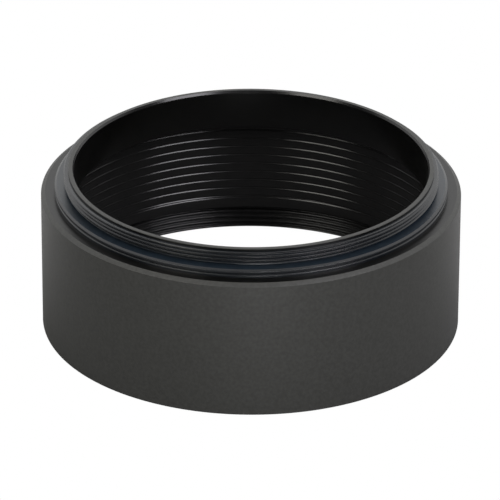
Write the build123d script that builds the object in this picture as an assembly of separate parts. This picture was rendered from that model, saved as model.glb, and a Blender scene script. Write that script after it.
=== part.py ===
"""Threaded extension ring for a telescope's optical train: one turned and anodised aluminium tube.

Frame: +Z is the optical axis, towards the male thread. The origin is the centre of the bottom face.
All lengths are in millimetres and all angles in degrees, counted about +Z from +X.
"""

from build123d import *
import os

# Driving dimensions
BODY_RADIUS = 27.5
BODY_HEIGHT = 18.76
TOTAL_HEIGHT = 21.97
BORE_RADIUS = 23.17
MALE_CREST_RADIUS = 24.5
MALE_PITCH = 0.5
FEMALE_MINOR_RADIUS = 26.3
FEMALE_PITCH = 0.75
CAVITY_RADIUS = 25.85
BAFFLE_PITCH = 1.25

# Outside of the body
FOOT_BREAK = 0.05
SHOULDER_CHAMFER_WIDTH = 0.55
SHOULDER_CHAMFER_HEIGHT = 0.4

# Collar at the foot of the neck, with one V groove round its rim
COLLAR_RADIUS = 25.7
COLLAR_TOP = 19.82
COLLAR_CHAMFER_WIDTH = 0.3
COLLAR_CHAMFER_HEIGHT = 0.16
COLLAR_GROOVE_HEIGHT = 19.2
COLLAR_GROOVE_HALF_WIDTH = 0.14
COLLAR_GROOVE_DEPTH = 0.2

# Neck: undercut, male thread, the flat ledge it ends at, and the rim that stands inside the thread
UNDERCUT_RADIUS = 24.03
UNDERCUT_TOP = 20.2
RIM_RADIUS = 23.9
LEDGE_HEIGHT = 21.68
LEAD_CHAMFER = 0.1
RIM_CHAMFER_WIDTH = 0.06
RIM_CHAMFER_HEIGHT = 0.06
BORE_CHAMFER_WIDTH = 0.17
BORE_CHAMFER_HEIGHT = 0.28

# Inside: smooth neck bore, baffled cavity, relief above the female thread
NECK_BORE_BOTTOM = 16.7
RELIEF_TOP = 3.25
RELIEF_BOTTOM = 2.75
RELIEF_RADIUS = 26.7

# Thread forms: 60 degrees between the flanks
MALE_DEPTH = 0.3
FEMALE_DEPTH = 0.345
ROOT_FLAT_PER_PITCH = 0.2
FLANK_SLOPE = 0.57735
THREAD_OVERLAP_PER_PITCH = 0.03
VEE_OVERLAP = 0.08

# The neck is turned from a longer blank, so that its thread can run past the rim before the rim is faced
BLANK_HEIGHT = TOTAL_HEIGHT + 1.5

# Helices, all right-handed: the height of a groove's middle on the +X side
MALE_GROOVE_START = 20.07
FEMALE_GROOVE_START = -0.47
BAFFLE_END_HEIGHT = 4.73
BAFFLE_END_ANGLE = 33.0
BAFFLE_TURNS = 9.3
BAFFLE_HALF_WIDTH = 0.14
BAFFLE_DEPTH = 0.11


def outline():
    """Half section of the blank in the XZ plane: the neck is plain and long, and nothing is grooved."""
    corners = [
        (COLLAR_RADIUS, BODY_HEIGHT),
        (BODY_RADIUS - SHOULDER_CHAMFER_WIDTH, BODY_HEIGHT),
        (BODY_RADIUS, BODY_HEIGHT - SHOULDER_CHAMFER_HEIGHT),
        (BODY_RADIUS, FOOT_BREAK),
        (BODY_RADIUS - FOOT_BREAK, 0),
        (FEMALE_MINOR_RADIUS + FOOT_BREAK, 0),
        (FEMALE_MINOR_RADIUS, FOOT_BREAK),
        (FEMALE_MINOR_RADIUS, RELIEF_BOTTOM),
        (RELIEF_RADIUS, RELIEF_BOTTOM),
        (RELIEF_RADIUS, RELIEF_TOP),
        (CAVITY_RADIUS, RELIEF_TOP),
        (CAVITY_RADIUS, NECK_BORE_BOTTOM),
        (BORE_RADIUS, NECK_BORE_BOTTOM),
        (BORE_RADIUS, BLANK_HEIGHT),
        (MALE_CREST_RADIUS, BLANK_HEIGHT),
        (MALE_CREST_RADIUS, COLLAR_TOP),
        (COLLAR_RADIUS - COLLAR_CHAMFER_WIDTH, COLLAR_TOP),
        (COLLAR_RADIUS, COLLAR_TOP - COLLAR_CHAMFER_HEIGHT),
    ]
    return Plane.XZ * make_face(Polyline(*corners, close=True))


def cutter_section(wall_radius, height, root, depth, flank_slope, overlap, outwards):
    """Section of a cut into a wall; outwards means away from the axis. Its flanks run on into the air."""
    sign = 1 if outwards else -1
    air = wall_radius - sign * overlap
    tip = wall_radius + sign * depth
    mouth = root + (depth + overlap) * flank_slope
    corners = [(air, height - mouth), (air, height + mouth), (tip, height + root)]
    if root:
        corners.append((tip, height - root))
    return Plane.XZ * make_face(Polyline(*corners, close=True))


def vee(wall_radius, height, half_width, depth, outwards):
    """Section of a V groove."""
    return cutter_section(wall_radius, height, 0, depth, half_width / depth, VEE_OVERLAP, outwards)


def thread_section(crest_radius, pitch, depth, height, outwards):
    """Section of the space between two thread ridges."""
    root = ROOT_FLAT_PER_PITCH * pitch / 2
    overlap = THREAD_OVERLAP_PER_PITCH * pitch
    return cutter_section(crest_radius, height, root, depth, FLANK_SLOPE, overlap, outwards)


def helical(section, radius, pitch, start, turns):
    """Sweep a section up a right-handed helix that starts at that height on the +X side."""
    path = Helix(pitch=pitch, height=pitch * turns, radius=radius, center=(0, 0, start))
    return sweep(section, path=path, is_frenet=True)


def male_thread():
    """The cut runs from the undercut to one pitch above the rim, and stays inside the blank."""
    section = thread_section(MALE_CREST_RADIUS, MALE_PITCH, MALE_DEPTH, MALE_GROOVE_START, outwards=False)
    turns = (TOTAL_HEIGHT - MALE_GROOVE_START) / MALE_PITCH + 1
    return helical(section, MALE_CREST_RADIUS, MALE_PITCH, MALE_GROOVE_START, turns)


def female_thread():
    """The cut runs from clear of the bottom face to the middle of the relief."""
    section = thread_section(FEMALE_MINOR_RADIUS, FEMALE_PITCH, FEMALE_DEPTH, FEMALE_GROOVE_START, outwards=True)
    finish = (RELIEF_BOTTOM + RELIEF_TOP) / 2
    turns = (finish - FEMALE_GROOVE_START) / FEMALE_PITCH
    return helical(section, FEMALE_MINOR_RADIUS, FEMALE_PITCH, FEMALE_GROOVE_START, turns)


def baffle_groove():
    section = vee(CAVITY_RADIUS, BAFFLE_END_HEIGHT, BAFFLE_HALF_WIDTH, BAFFLE_DEPTH, outwards=True)
    cutter = helical(section, CAVITY_RADIUS, BAFFLE_PITCH, BAFFLE_END_HEIGHT, BAFFLE_TURNS)
    return Rot(0, 0, BAFFLE_END_ANGLE) * cutter


def baffle_run_out():
    """Closed groove in which the baffle helix ends."""
    section = vee(CAVITY_RADIUS, BAFFLE_END_HEIGHT, BAFFLE_HALF_WIDTH, BAFFLE_DEPTH, outwards=True)
    return revolve(section, Axis.Z)


def collar_groove():
    """Closed groove round the rim of the collar."""
    section = vee(
        COLLAR_RADIUS, COLLAR_GROOVE_HEIGHT, COLLAR_GROOVE_HALF_WIDTH, COLLAR_GROOVE_DEPTH, outwards=False
    )
    return revolve(section, Axis.Z)


def turned(*corners):
    """A ring turned from the section with those corners."""
    return revolve(Plane.XZ * make_face(Polyline(*corners, close=True)), Axis.Z)


def neck_undercut():
    """Run-out between the male thread and the collar."""
    outside = COLLAR_RADIUS + 1
    return turned(
        (UNDERCUT_RADIUS, COLLAR_TOP),
        (outside, COLLAR_TOP),
        (outside, UNDERCUT_TOP),
        (UNDERCUT_RADIUS, UNDERCUT_TOP),
    )


def neck_facing():
    """What is turned off the blank's end: it leaves the broken inner edge, the rim and the ledge."""
    reach = 1
    return turned(
        (BORE_RADIUS - BORE_CHAMFER_WIDTH, TOTAL_HEIGHT - 2 * BORE_CHAMFER_HEIGHT),
        (BORE_RADIUS + BORE_CHAMFER_WIDTH, TOTAL_HEIGHT),
        (RIM_RADIUS - RIM_CHAMFER_WIDTH, TOTAL_HEIGHT),
        (RIM_RADIUS, TOTAL_HEIGHT - RIM_CHAMFER_HEIGHT),
        (RIM_RADIUS, LEDGE_HEIGHT),
        (MALE_CREST_RADIUS - LEAD_CHAMFER, LEDGE_HEIGHT),
        (MALE_CREST_RADIUS + reach, LEDGE_HEIGHT - LEAD_CHAMFER - reach),
        (MALE_CREST_RADIUS + reach, BLANK_HEIGHT + reach),
        (BORE_RADIUS - BORE_CHAMFER_WIDTH, BLANK_HEIGHT + reach),
    )


def extension_ring():
    ring = revolve(outline(), Axis.Z)
    ring -= male_thread()
    ring -= neck_undercut()
    ring -= neck_facing()
    ring -= collar_groove()
    ring -= female_thread()
    ring -= baffle_groove()
    ring -= baffle_run_out()
    return ring


os.makedirs("parts", exist_ok=True)
export_step(extension_ring(), "parts/extension_ring.step")
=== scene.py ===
"""Looks of the threaded extension ring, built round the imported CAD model. Metres, +Z up the optical axis."""

import math

import bmesh
import bpy
import numpy as np
from mathutils import Matrix, Vector


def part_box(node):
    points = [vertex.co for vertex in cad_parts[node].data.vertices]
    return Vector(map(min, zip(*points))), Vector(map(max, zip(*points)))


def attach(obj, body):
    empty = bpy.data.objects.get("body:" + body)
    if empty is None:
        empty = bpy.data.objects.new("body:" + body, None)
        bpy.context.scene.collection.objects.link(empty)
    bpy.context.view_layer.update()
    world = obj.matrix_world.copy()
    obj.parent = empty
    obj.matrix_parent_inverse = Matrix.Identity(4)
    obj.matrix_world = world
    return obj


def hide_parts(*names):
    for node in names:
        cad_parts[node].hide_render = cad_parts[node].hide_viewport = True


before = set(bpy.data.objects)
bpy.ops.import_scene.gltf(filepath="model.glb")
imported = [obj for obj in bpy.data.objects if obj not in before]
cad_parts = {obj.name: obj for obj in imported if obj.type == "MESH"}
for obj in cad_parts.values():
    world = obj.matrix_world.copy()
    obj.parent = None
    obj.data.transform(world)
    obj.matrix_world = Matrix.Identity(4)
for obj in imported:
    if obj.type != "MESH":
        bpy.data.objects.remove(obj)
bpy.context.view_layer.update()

MM = 0.001
NODE = "extension_ring"
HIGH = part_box(NODE)[1]

# Sizes of the ring in millimetres. The body's radius and the height come from the CAD node itself.
BODY_RADIUS = round(HIGH[0] / MM, 3)
TOTAL_HEIGHT = round(HIGH[2] / MM, 3)
BODY_HEIGHT = 18.76
FOOT_BREAK = 0.05
SHOULDER_CHAMFER_WIDTH = 0.55
SHOULDER_CHAMFER_HEIGHT = 0.4
COLLAR_RADIUS = 25.7
COLLAR_TOP = 19.82
COLLAR_CHAMFER_WIDTH = 0.3
COLLAR_CHAMFER_HEIGHT = 0.16
COLLAR_GROOVE_HEIGHT = 19.2
COLLAR_GROOVE_HALF_WIDTH = 0.14
COLLAR_GROOVE_DEPTH = 0.2
UNDERCUT_RADIUS = 24.03
UNDERCUT_TOP = 20.2
MALE_CREST_RADIUS = 24.5
MALE_PITCH = 0.5
MALE_DEPTH = 0.3
MALE_GROOVE_START = 20.07
RIM_RADIUS = 23.9
LEDGE_HEIGHT = 21.68
LEAD_CHAMFER = 0.1
RIM_CHAMFER_WIDTH = 0.06
RIM_CHAMFER_HEIGHT = 0.06
BORE_CHAMFER_WIDTH = 0.17
BORE_CHAMFER_HEIGHT = 0.28
BORE_RADIUS = 23.17
NECK_BORE_BOTTOM = 16.7
CAVITY_RADIUS = 25.85
BAFFLE_PITCH = 1.25
BAFFLE_END_HEIGHT = 4.73
BAFFLE_END_ANGLE = 33.0
BAFFLE_TURNS = 9.3
BAFFLE_HALF_WIDTH = 0.14
BAFFLE_DEPTH = 0.11
RELIEF_TOP = 3.25
RELIEF_BOTTOM = 2.75
RELIEF_RADIUS = 26.7
FEMALE_MINOR_RADIUS = 26.3
FEMALE_PITCH = 0.75
FEMALE_DEPTH = 0.345
FEMALE_GROOVE_START = -0.47
ROOT_FLAT_PER_PITCH = 0.2
FLANK_SLOPE = 0.57735

# How finely the mesh is cut, and how far its edges are rounded. Lengths in millimetres.
COLUMNS = 280
EDGE_ROUND = 0.03
THREAD_ROUND_PER_PITCH = 0.06
BAFFLE_ROUND = 0.08
EDGE_STEPS = 3
ROUNDINGS_PER_LINE = 2.1
BAFFLE_WALL_ROWS = [0.35, 0.5, 0.65]
RUN_OUT_MARGIN = 0.04
RUN_OUT_STEP = 0.0225
BORE_EDGE_BAND = 0.1
WELD_DISTANCE = 1e-8
SHARP_ANGLE = 24

TURN = 2 * math.pi
ANGLES = np.linspace(0, TURN, COLUMNS + 1)

# The mesh's material slots
OUTSIDE, NECK, INSIDE, CUT, UNDERCUT = 0, 1, 2, 3, 4


# ---------------------------------------------------------------- shape


def rounded(corners, reach):
    """A run of straight lines whose inner corners are rounded, each by the same reach along its lines."""
    points = [Vector(corner) for corner in corners]
    path = [points[0]]
    for before, here, after in zip(points, points[1:], points[2:]):
        shortest = min((here - before).length, (after - here).length)
        near = min(reach, shortest / ROUNDINGS_PER_LINE)
        start = here + (before - here).normalized() * near
        end = here + (after - here).normalized() * near
        for step in range(EDGE_STEPS + 1):
            t = step / EDGE_STEPS
            path.append((1 - t) ** 2 * start + 2 * t * (1 - t) * here + t * t * end)
    return path + [points[-1]]


class Section:
    """The ring's closed half section, walked once round. Each row holds a radius and a height per column."""

    def __init__(self):
        self.radii, self.heights, self.finishes = [], [], []

    def row(self, radius, height, finish):
        self.radii.append(np.broadcast_to(radius, ANGLES.shape))
        self.heights.append(np.broadcast_to(height, ANGLES.shape))
        self.finishes.append(finish)

    def line(self, finish, *corners):
        """Rows along straight runs whose inner corners are rounded a little."""
        for point in rounded(corners, EDGE_ROUND):
            self.row(*point, finish)


def thread_profile(pitch, depth):
    """One pitch of a thread from the middle of a crest to the next: distance along the axis and depth."""
    root = ROOT_FLAT_PER_PITCH * pitch / 2
    mouth = root + depth * FLANK_SLOPE
    corners = [(-mouth, 0), (-root, depth), (root, depth), (mouth, 0)]
    ends = [(-pitch + mouth, 0), *corners, (pitch - mouth, 0)]
    path = rounded(ends, THREAD_ROUND_PER_PITCH * pitch)
    return [point for point in path if abs(point.x) <= pitch / 2]


def groove_profile():
    """Section of the baffle groove: distance along the axis and depth."""
    half, depth = BAFFLE_HALF_WIDTH, BAFFLE_DEPTH
    return rounded([(-2 * half, 0), (-half, 0), (0, depth), (half, 0), (2 * half, 0)], BAFFLE_ROUND)


def depth_at(profile, distance):
    return np.interp(distance, [point.x for point in profile], [point.y for point in profile])


def from_groove(height, start, pitch):
    """Distance along the axis from the middle of the nearest turn of a right-handed helix."""
    turns = (height - start) / pitch - ANGLES / TURN
    return (turns - np.round(turns)) * pitch


def row_offsets(profile, pitch):
    """The profile's rows, in pitches from the groove's middle."""
    return [point.x / pitch for point in profile]


def helix_rows(low, high, start, pitch, offsets):
    """Heights, per column, of lines that follow the helix and stop at the two ends."""
    first = math.floor((low - start) / pitch) - 2
    last = math.ceil((high - start) / pitch) + 1
    lines = [start + (turn + offset) * pitch for turn in range(first, last) for offset in offsets]
    return [np.clip(line + pitch * ANGLES / TURN, low, high) for line in sorted(lines)]


def male_radius(height):
    profile = thread_profile(MALE_PITCH, MALE_DEPTH)
    cut = depth_at(profile, from_groove(height, MALE_GROOVE_START, MALE_PITCH))
    lead = np.maximum(height - (LEDGE_HEIGHT - LEAD_CHAMFER), 0)
    return MALE_CREST_RADIUS - np.maximum(cut, lead)


def female_radius(height):
    profile = thread_profile(FEMALE_PITCH, FEMALE_DEPTH)
    cut = depth_at(profile, from_groove(height, FEMALE_GROOVE_START, FEMALE_PITCH))
    broken_edge = np.maximum(FOOT_BREAK - height, 0)
    return FEMALE_MINOR_RADIUS + np.maximum(cut, broken_edge)


def baffle_radius(height):
    """Wall of the cavity with the helical groove and the closed groove that it ends in."""
    profile = groove_profile()
    turns = (height - BAFFLE_END_HEIGHT) / BAFFLE_PITCH
    behind = (ANGLES / TURN - BAFFLE_END_ANGLE / 360) % 1
    nearest = np.clip(np.round(turns - behind), 0, None) + behind
    helix = np.where(nearest <= BAFFLE_TURNS, depth_at(profile, (turns - nearest) * BAFFLE_PITCH), 0)
    closed = depth_at(profile, height - BAFFLE_END_HEIGHT)
    return CAVITY_RADIUS + np.maximum(helix, closed)


def outer_rows(section):
    """Bottom face, body, shoulder, collar and undercut, upwards."""
    section.line(
        OUTSIDE,
        (FEMALE_MINOR_RADIUS + FOOT_BREAK, 0),
        (BODY_RADIUS - FOOT_BREAK, 0),
        (BODY_RADIUS, FOOT_BREAK),
        (BODY_RADIUS, BODY_HEIGHT - SHOULDER_CHAMFER_HEIGHT),
        (BODY_RADIUS - SHOULDER_CHAMFER_WIDTH, BODY_HEIGHT),
    )
    section.line(
        INSIDE,
        (BODY_RADIUS - SHOULDER_CHAMFER_WIDTH, BODY_HEIGHT),
        (COLLAR_RADIUS, BODY_HEIGHT),
    )
    section.line(
        NECK,
        (COLLAR_RADIUS, BODY_HEIGHT),
        (COLLAR_RADIUS, COLLAR_GROOVE_HEIGHT - COLLAR_GROOVE_HALF_WIDTH),
        (COLLAR_RADIUS - COLLAR_GROOVE_DEPTH, COLLAR_GROOVE_HEIGHT),
        (COLLAR_RADIUS, COLLAR_GROOVE_HEIGHT + COLLAR_GROOVE_HALF_WIDTH),
        (COLLAR_RADIUS, COLLAR_TOP - COLLAR_CHAMFER_HEIGHT),
        (COLLAR_RADIUS - COLLAR_CHAMFER_WIDTH, COLLAR_TOP),
    )
    section.line(
        UNDERCUT,
        (COLLAR_RADIUS - COLLAR_CHAMFER_WIDTH, COLLAR_TOP),
        (UNDERCUT_RADIUS, COLLAR_TOP),
        (UNDERCUT_RADIUS, UNDERCUT_TOP),
    )


def neck_rows(section):
    """Male thread, the flat ledge that it ends at, and the rim that stands inside the thread, upwards."""
    offsets = row_offsets(thread_profile(MALE_PITCH, MALE_DEPTH), MALE_PITCH)
    for height in helix_rows(UNDERCUT_TOP, LEDGE_HEIGHT, MALE_GROOVE_START, MALE_PITCH, offsets):
        section.row(male_radius(height), height, NECK)
    section.line(
        INSIDE,
        (RIM_RADIUS, LEDGE_HEIGHT),
        (RIM_RADIUS, TOTAL_HEIGHT - RIM_CHAMFER_HEIGHT),
    )
    section.line(
        OUTSIDE,
        (RIM_RADIUS, TOTAL_HEIGHT - RIM_CHAMFER_HEIGHT),
        (RIM_RADIUS - RIM_CHAMFER_WIDTH, TOTAL_HEIGHT),
        (BORE_RADIUS + BORE_CHAMFER_WIDTH, TOTAL_HEIGHT),
    )
    section.line(
        CUT,
        (BORE_RADIUS + BORE_CHAMFER_WIDTH, TOTAL_HEIGHT),
        (BORE_RADIUS, TOTAL_HEIGHT - BORE_CHAMFER_HEIGHT),
    )


def inner_rows(section):
    """Neck bore, cavity with its baffle groove, land, relief and female thread, downwards."""
    section.line(
        INSIDE,
        (BORE_RADIUS, TOTAL_HEIGHT - BORE_CHAMFER_HEIGHT - BORE_EDGE_BAND),
        (BORE_RADIUS, NECK_BORE_BOTTOM),
        (CAVITY_RADIUS, NECK_BORE_BOTTOM),
    )
    run_out_top = BAFFLE_END_HEIGHT + BAFFLE_HALF_WIDTH + RUN_OUT_MARGIN
    run_out_bottom = BAFFLE_END_HEIGHT - BAFFLE_HALF_WIDTH - RUN_OUT_MARGIN
    start = BAFFLE_END_HEIGHT - BAFFLE_PITCH * BAFFLE_END_ANGLE / 360
    offsets = row_offsets(groove_profile(), BAFFLE_PITCH) + BAFFLE_WALL_ROWS
    for height in reversed(helix_rows(run_out_top, NECK_BORE_BOTTOM, start, BAFFLE_PITCH, offsets)):
        section.row(baffle_radius(height), height, CUT)
    for height in np.arange(run_out_top, run_out_bottom, -RUN_OUT_STEP):
        section.row(baffle_radius(np.full_like(ANGLES, height)), height, CUT)
    section.line(
        CUT,
        (CAVITY_RADIUS, run_out_bottom),
        (CAVITY_RADIUS, RELIEF_TOP),
        (RELIEF_RADIUS, RELIEF_TOP),
        (RELIEF_RADIUS, RELIEF_BOTTOM),
    )
    offsets = row_offsets(thread_profile(FEMALE_PITCH, FEMALE_DEPTH), FEMALE_PITCH)
    for height in reversed(helix_rows(0, RELIEF_BOTTOM, FEMALE_GROOVE_START, FEMALE_PITCH, offsets)):
        section.row(female_radius(height), height, CUT)


def weld(mesh):
    work = bmesh.new()
    work.from_mesh(mesh)
    bmesh.ops.remove_doubles(work, verts=work.verts, dist=WELD_DISTANCE)
    bmesh.ops.dissolve_degenerate(work, dist=WELD_DISTANCE, edges=work.edges)
    bmesh.ops.recalc_face_normals(work, faces=work.faces)
    work.to_mesh(mesh)
    work.free()


def ring_mesh(name):
    """Closed mesh of the whole ring: the section's rows joined round and round, and the repeats welded."""
    section = Section()
    outer_rows(section)
    neck_rows(section)
    inner_rows(section)
    radii, heights = np.array(section.radii) * MM, np.array(section.heights) * MM
    points = np.stack([radii * np.cos(ANGLES), radii * np.sin(ANGLES), heights], axis=-1)
    rows, columns = radii.shape
    corner = np.arange(rows * columns).reshape(rows, columns)
    above = np.roll(corner, -1, axis=0)
    faces = np.stack([corner[:, :-1], corner[:, 1:], above[:, 1:], above[:, :-1]], axis=-1)
    slots = np.repeat(np.array(section.finishes), columns - 1)
    mesh = bpy.data.meshes.new(name)
    mesh.from_pydata(points.reshape(-1, 3).tolist(), [], faces.reshape(-1, 4).tolist())
    mesh.polygons.foreach_set("material_index", slots.astype(np.int32))
    weld(mesh)
    mesh.shade_smooth()
    mesh.set_sharp_from_angle(angle=math.radians(SHARP_ANGLE))
    return mesh


# ---------------------------------------------------------------- materials

GRAIN_SCALE = 2600
BLAST_COLOUR_SCALE = 2300
GRAIN_HEIGHT = 0.00002
MARK_SCALE = 2600
MARK_HEIGHT = 0.000003


class Finish:
    """A black anodised finish: a Principled shader and the texture nodes that drive it."""

    def __init__(self, name, specular):
        self.material = bpy.data.materials.new(name)
        self.material.use_nodes = True
        self.nodes, self.links = self.material.node_tree.nodes, self.material.node_tree.links
        self.shader = self.nodes["Principled BSDF"]
        self.shader.inputs["Specular IOR Level"].default_value = specular
        self.place = self.nodes.new("ShaderNodeTexCoord").outputs["Object"]

    def noise(self, scale, detail):
        texture = self.nodes.new("ShaderNodeTexNoise")
        texture.inputs["Scale"].default_value = scale
        texture.inputs["Detail"].default_value = detail
        self.links.new(self.place, texture.inputs["Vector"])
        return texture.outputs["Fac"]

    def lathe_marks(self):
        """Fine rings round the axis: on a turned face the distance from the origin is constant along them."""
        texture = self.nodes.new("ShaderNodeTexWave")
        texture.wave_type, texture.rings_direction = "RINGS", "SPHERICAL"
        texture.inputs["Scale"].default_value = MARK_SCALE
        texture.inputs["Distortion"].default_value = 2.5
        texture.inputs["Detail"].default_value = 3
        texture.inputs["Detail Scale"].default_value = 0.4
        self.links.new(self.place, texture.inputs["Vector"])
        return texture.outputs["Fac"]

    def colours(self, factor, low, high):
        """The base colour wanders from low to high over the middle of the factor's range."""
        ramp = self.nodes.new("ShaderNodeValToRGB")
        first, last = ramp.color_ramp.elements
        first.position, last.position = 0.3, 0.7
        first.color, last.color = (*low, 1), (*high, 1)
        self.links.new(factor, ramp.inputs["Fac"])
        self.links.new(ramp.outputs["Color"], self.shader.inputs["Base Color"])

    def relief(self, factor, height, strength):
        bump = self.nodes.new("ShaderNodeBump")
        bump.inputs["Distance"].default_value = height
        bump.inputs["Strength"].default_value = strength
        self.links.new(factor, bump.inputs["Height"])
        self.links.new(bump.outputs["Normal"], self.shader.inputs["Normal"])

    def spread(self, across, along):
        """The blur of lathe marks: wide across the marks, which run round the axis, narrow along them."""
        self.shader.inputs["Roughness"].default_value = (across * along) ** 0.25
        self.shader.inputs["Anisotropic"].default_value = (1 - along / across) / 0.9
        self.shader.inputs["Anisotropic Rotation"].default_value = 0.25
        tangent = self.nodes.new("ShaderNodeTangent")
        tangent.direction_type, tangent.axis = "RADIAL", "Z"
        self.links.new(tangent.outputs["Tangent"], self.shader.inputs["Tangent"])


def blasted():
    """Bead-blasted to a fine even grain before anodising."""
    finish = Finish("blasted_anodised", 0.5)
    finish.shader.inputs["Roughness"].default_value = 0.48
    finish.colours(finish.noise(BLAST_COLOUR_SCALE, 2), (0.0242, 0.0246, 0.0222), (0.0348, 0.0355, 0.0325))
    finish.relief(finish.noise(GRAIN_SCALE, 2), GRAIN_HEIGHT, 0.3)
    return finish.material


def turned(name, specular, across, along, mottle, shades, marks):
    """Turned on a lathe: mottle is the scale of its colour clouds, marks how strong the lathe marks are."""
    finish = Finish(name, specular)
    finish.spread(across, along)
    finish.colours(finish.noise(mottle, 3), *shades)
    finish.relief(finish.lathe_marks(), MARK_HEIGHT, marks)
    return finish.material


def ring_materials():
    """One material per slot, in the slots' order."""
    blue_black = (0.0026, 0.0038, 0.0054), (0.0052, 0.0070, 0.0092)
    deep_black = (0.0004, 0.0004, 0.0003), (0.0012, 0.0012, 0.001)
    plain_black = (0.0023, 0.0023, 0.0024), (0.0050, 0.0049, 0.0048)
    dark_blue = (0.0070, 0.0122, 0.0185), (0.0118, 0.0190, 0.0272)
    return [
        blasted(),
        turned("turned_anodised", 0.65, across=0.08, along=0.07, mottle=900, shades=blue_black, marks=0.15),
        turned("bored_anodised", 0.4, across=0.1, along=0.06, mottle=500, shades=deep_black, marks=0.1),
        turned("threaded_anodised", 0.5, across=0.12, along=0.045, mottle=700, shades=plain_black, marks=0.1),
        turned("undercut_anodised", 0.65, across=0.12, along=0.07, mottle=900, shades=dark_blue, marks=0.15),
    ]


# ---------------------------------------------------------------- studio

# Camera: angles in degrees, distances in body radii from the centre of the bottom face, lens and sensor in mm
ELEVATION = 26.93
CAMERA_DISTANCE = 25.284
CAMERA_RISE = 0.3145
CAMERA_RIGHT = -0.0024
CAMERA_ROLL = -0.244
LENS = 377.7
SENSOR = 36.0

# Table: sizes in metres; how much light it returns inside the ring, in front of it and behind it. The darker
# inside is a painted shadow of the ring, the darker front is painted shade and the paler back is painted
# light.
TABLE_SIZE = 6
TABLE_DROP = 0.00001
RING_INSIDE, RING_OUTSIDE = 0.026, 0.0275
SWEEP_START, SWEEP_END = -0.012, 0.03
TABLE_INSIDE_PAINTED_SHADOW, TABLE_FRONT_PAINTED_SHADE, TABLE_BACK_PAINTED_LIGHT = 0.19, 0.3, 0.62

# Room: its brightness by the Y of the direction, from behind the camera to behind the ring
ROOM_START, ROOM_END = -0.12, 0.14
ROOM_FRONT, ROOM_BACK = 0.08, 1.05

WARM, COOL, WHITE = (1.0, 0.98, 0.92), (0.97, 0.95, 1.0), (1.0, 1.0, 1.0)
SOFTBOX_DISTANCE = 1.2


def camera():
    data = bpy.data.cameras.new("camera")
    data.lens, data.sensor_width = LENS, SENSOR
    data.clip_start, data.clip_end = 0.01, 20
    look = math.radians(ELEVATION)
    forward = Vector((0, math.cos(look), -math.sin(look)))
    roll = Matrix.Rotation(math.radians(CAMERA_ROLL), 3, forward)
    up = roll @ Vector((0, math.sin(look), math.cos(look)))
    right = forward.cross(up)
    axes = Matrix((right, up, -forward)).transposed()
    place = (right * CAMERA_RIGHT + up * CAMERA_RISE - forward * CAMERA_DISTANCE) * BODY_RADIUS * MM
    eye = bpy.data.objects.new("camera", data)
    eye.matrix_world = Matrix.Translation(place) @ axes.to_4x4()
    bpy.context.scene.collection.objects.link(eye)
    bpy.context.scene.camera = eye


def map_range(tree, value, start, end, low, high):
    """A node that maps start..end to low..high; high may be another node's output."""
    node = tree.nodes.new("ShaderNodeMapRange")
    node.inputs["From Min"].default_value = start
    node.inputs["From Max"].default_value = end
    node.inputs["To Min"].default_value = low
    if isinstance(high, (int, float)):
        node.inputs["To Max"].default_value = high
    else:
        tree.links.new(high, node.inputs["To Max"])
    tree.links.new(value, node.inputs["Value"])
    return node


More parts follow.
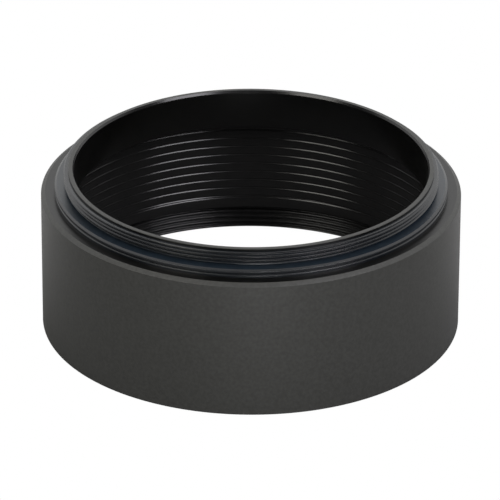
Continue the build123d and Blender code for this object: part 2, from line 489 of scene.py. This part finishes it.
def floor():
    """A table that shows pure white, yet reflects in the metal as a grey one with painted light and shade:
    paler at the back, darker in front, and darker still inside the ring, where the ring's shadow is painted.
    """
    bpy.ops.mesh.primitive_plane_add(size=TABLE_SIZE, location=(0, 0, -TABLE_DROP))
    plane = bpy.context.object
    plane.name = "floor"
    material = bpy.data.materials.new("floor_white_painted_light_and_shade")
    material.use_nodes = True
    tree = material.node_tree
    nodes, links = tree.nodes, tree.links
    place = nodes.new("ShaderNodeTexCoord").outputs["Object"]
    depth = nodes.new("ShaderNodeSeparateXYZ")
    links.new(place, depth.inputs["Vector"])
    # Paler towards the back and darker towards the front: painted light and painted shade on the table.
    painted_light_sweep = map_range(tree, depth.outputs["Y"], SWEEP_START, SWEEP_END, TABLE_FRONT_PAINTED_SHADE, TABLE_BACK_PAINTED_LIGHT)
    painted_light_sweep.interpolation_type = "SMOOTHSTEP"
    radius = nodes.new("ShaderNodeVectorMath")
    radius.operation = "LENGTH"
    links.new(place, radius.inputs[0])
    outside = painted_light_sweep.outputs["Result"]
    # Darker inside the ring's footprint: a painted shadow of the ring on the table.
    shade = map_range(tree, radius.outputs["Value"], RING_INSIDE, RING_OUTSIDE, TABLE_INSIDE_PAINTED_SHADOW, outside)
    table = nodes.new("ShaderNodeBsdfDiffuse")
    links.new(shade.outputs["Result"], table.inputs["Color"])
    white = nodes.new("ShaderNodeEmission")
    sight = nodes.new("ShaderNodeLightPath")
    mix = nodes.new("ShaderNodeMixShader")
    links.new(sight.outputs["Is Camera Ray"], mix.inputs["Fac"])
    links.new(table.outputs["BSDF"], mix.inputs[1])
    links.new(white.outputs["Emission"], mix.inputs[2])
    links.new(mix.outputs["Shader"], nodes["Material Output"].inputs["Surface"])
    plane.data.materials.append(material)


def softbox(name, azimuth, elevation, width, height, radiance, colour):
    """An area light that faces the ring; radiance is what an eye at the ring would see on it."""
    data = bpy.data.lights.new(name, "AREA")
    data.shape, data.size, data.size_y = "RECTANGLE", width, height
    data.energy = radiance * width * height * math.pi
    data.color = colour
    light = bpy.data.objects.new(name, data)
    across, up = math.radians(azimuth), math.radians(elevation)
    level = SOFTBOX_DISTANCE * math.cos(up)
    light.location = (level * math.cos(across), level * math.sin(across), SOFTBOX_DISTANCE * math.sin(up))
    light.rotation_euler = (-light.location).to_track_quat("-Z", "Y").to_euler()
    bpy.context.scene.collection.objects.link(light)


def room():
    """Bright behind and above the ring, dark behind the camera."""
    world = bpy.data.worlds.new("studio")
    bpy.context.scene.world = world
    world.use_nodes = True
    tree = world.node_tree
    direction = tree.nodes.new("ShaderNodeTexCoord")
    parts = tree.nodes.new("ShaderNodeSeparateXYZ")
    tree.links.new(direction.outputs["Generated"], parts.inputs["Vector"])
    ramp = map_range(tree, parts.outputs["Y"], ROOM_START, ROOM_END, ROOM_FRONT, ROOM_BACK)
    ramp.interpolation_type = "SMOOTHSTEP"
    background = tree.nodes["Background"]
    background.inputs["Color"].default_value = (1, 1, 1, 1)
    tree.links.new(ramp.outputs["Result"], background.inputs["Strength"])


def lights():
    """A softbox in front on either side, and a small low one beside the camera."""
    softbox("left_softbox", 225, 41, 0.55, 0.7, 4.9, WARM)
    softbox("right_softbox", 316, 41, 0.58, 0.7, 7.9, COOL)
    softbox("front_fill", 275, 4, 0.35, 0.15, 21.0, WHITE)


# ---------------------------------------------------------------- assembly

ring = bpy.data.objects.new("ring", ring_mesh("ring"))
bpy.context.scene.collection.objects.link(ring)
for material in ring_materials():
    ring.data.materials.append(material)
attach(ring, "root")
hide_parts(NODE)

camera()
floor()
room()
lights()
bpy.context.scene.view_settings.view_transform = "Standard"
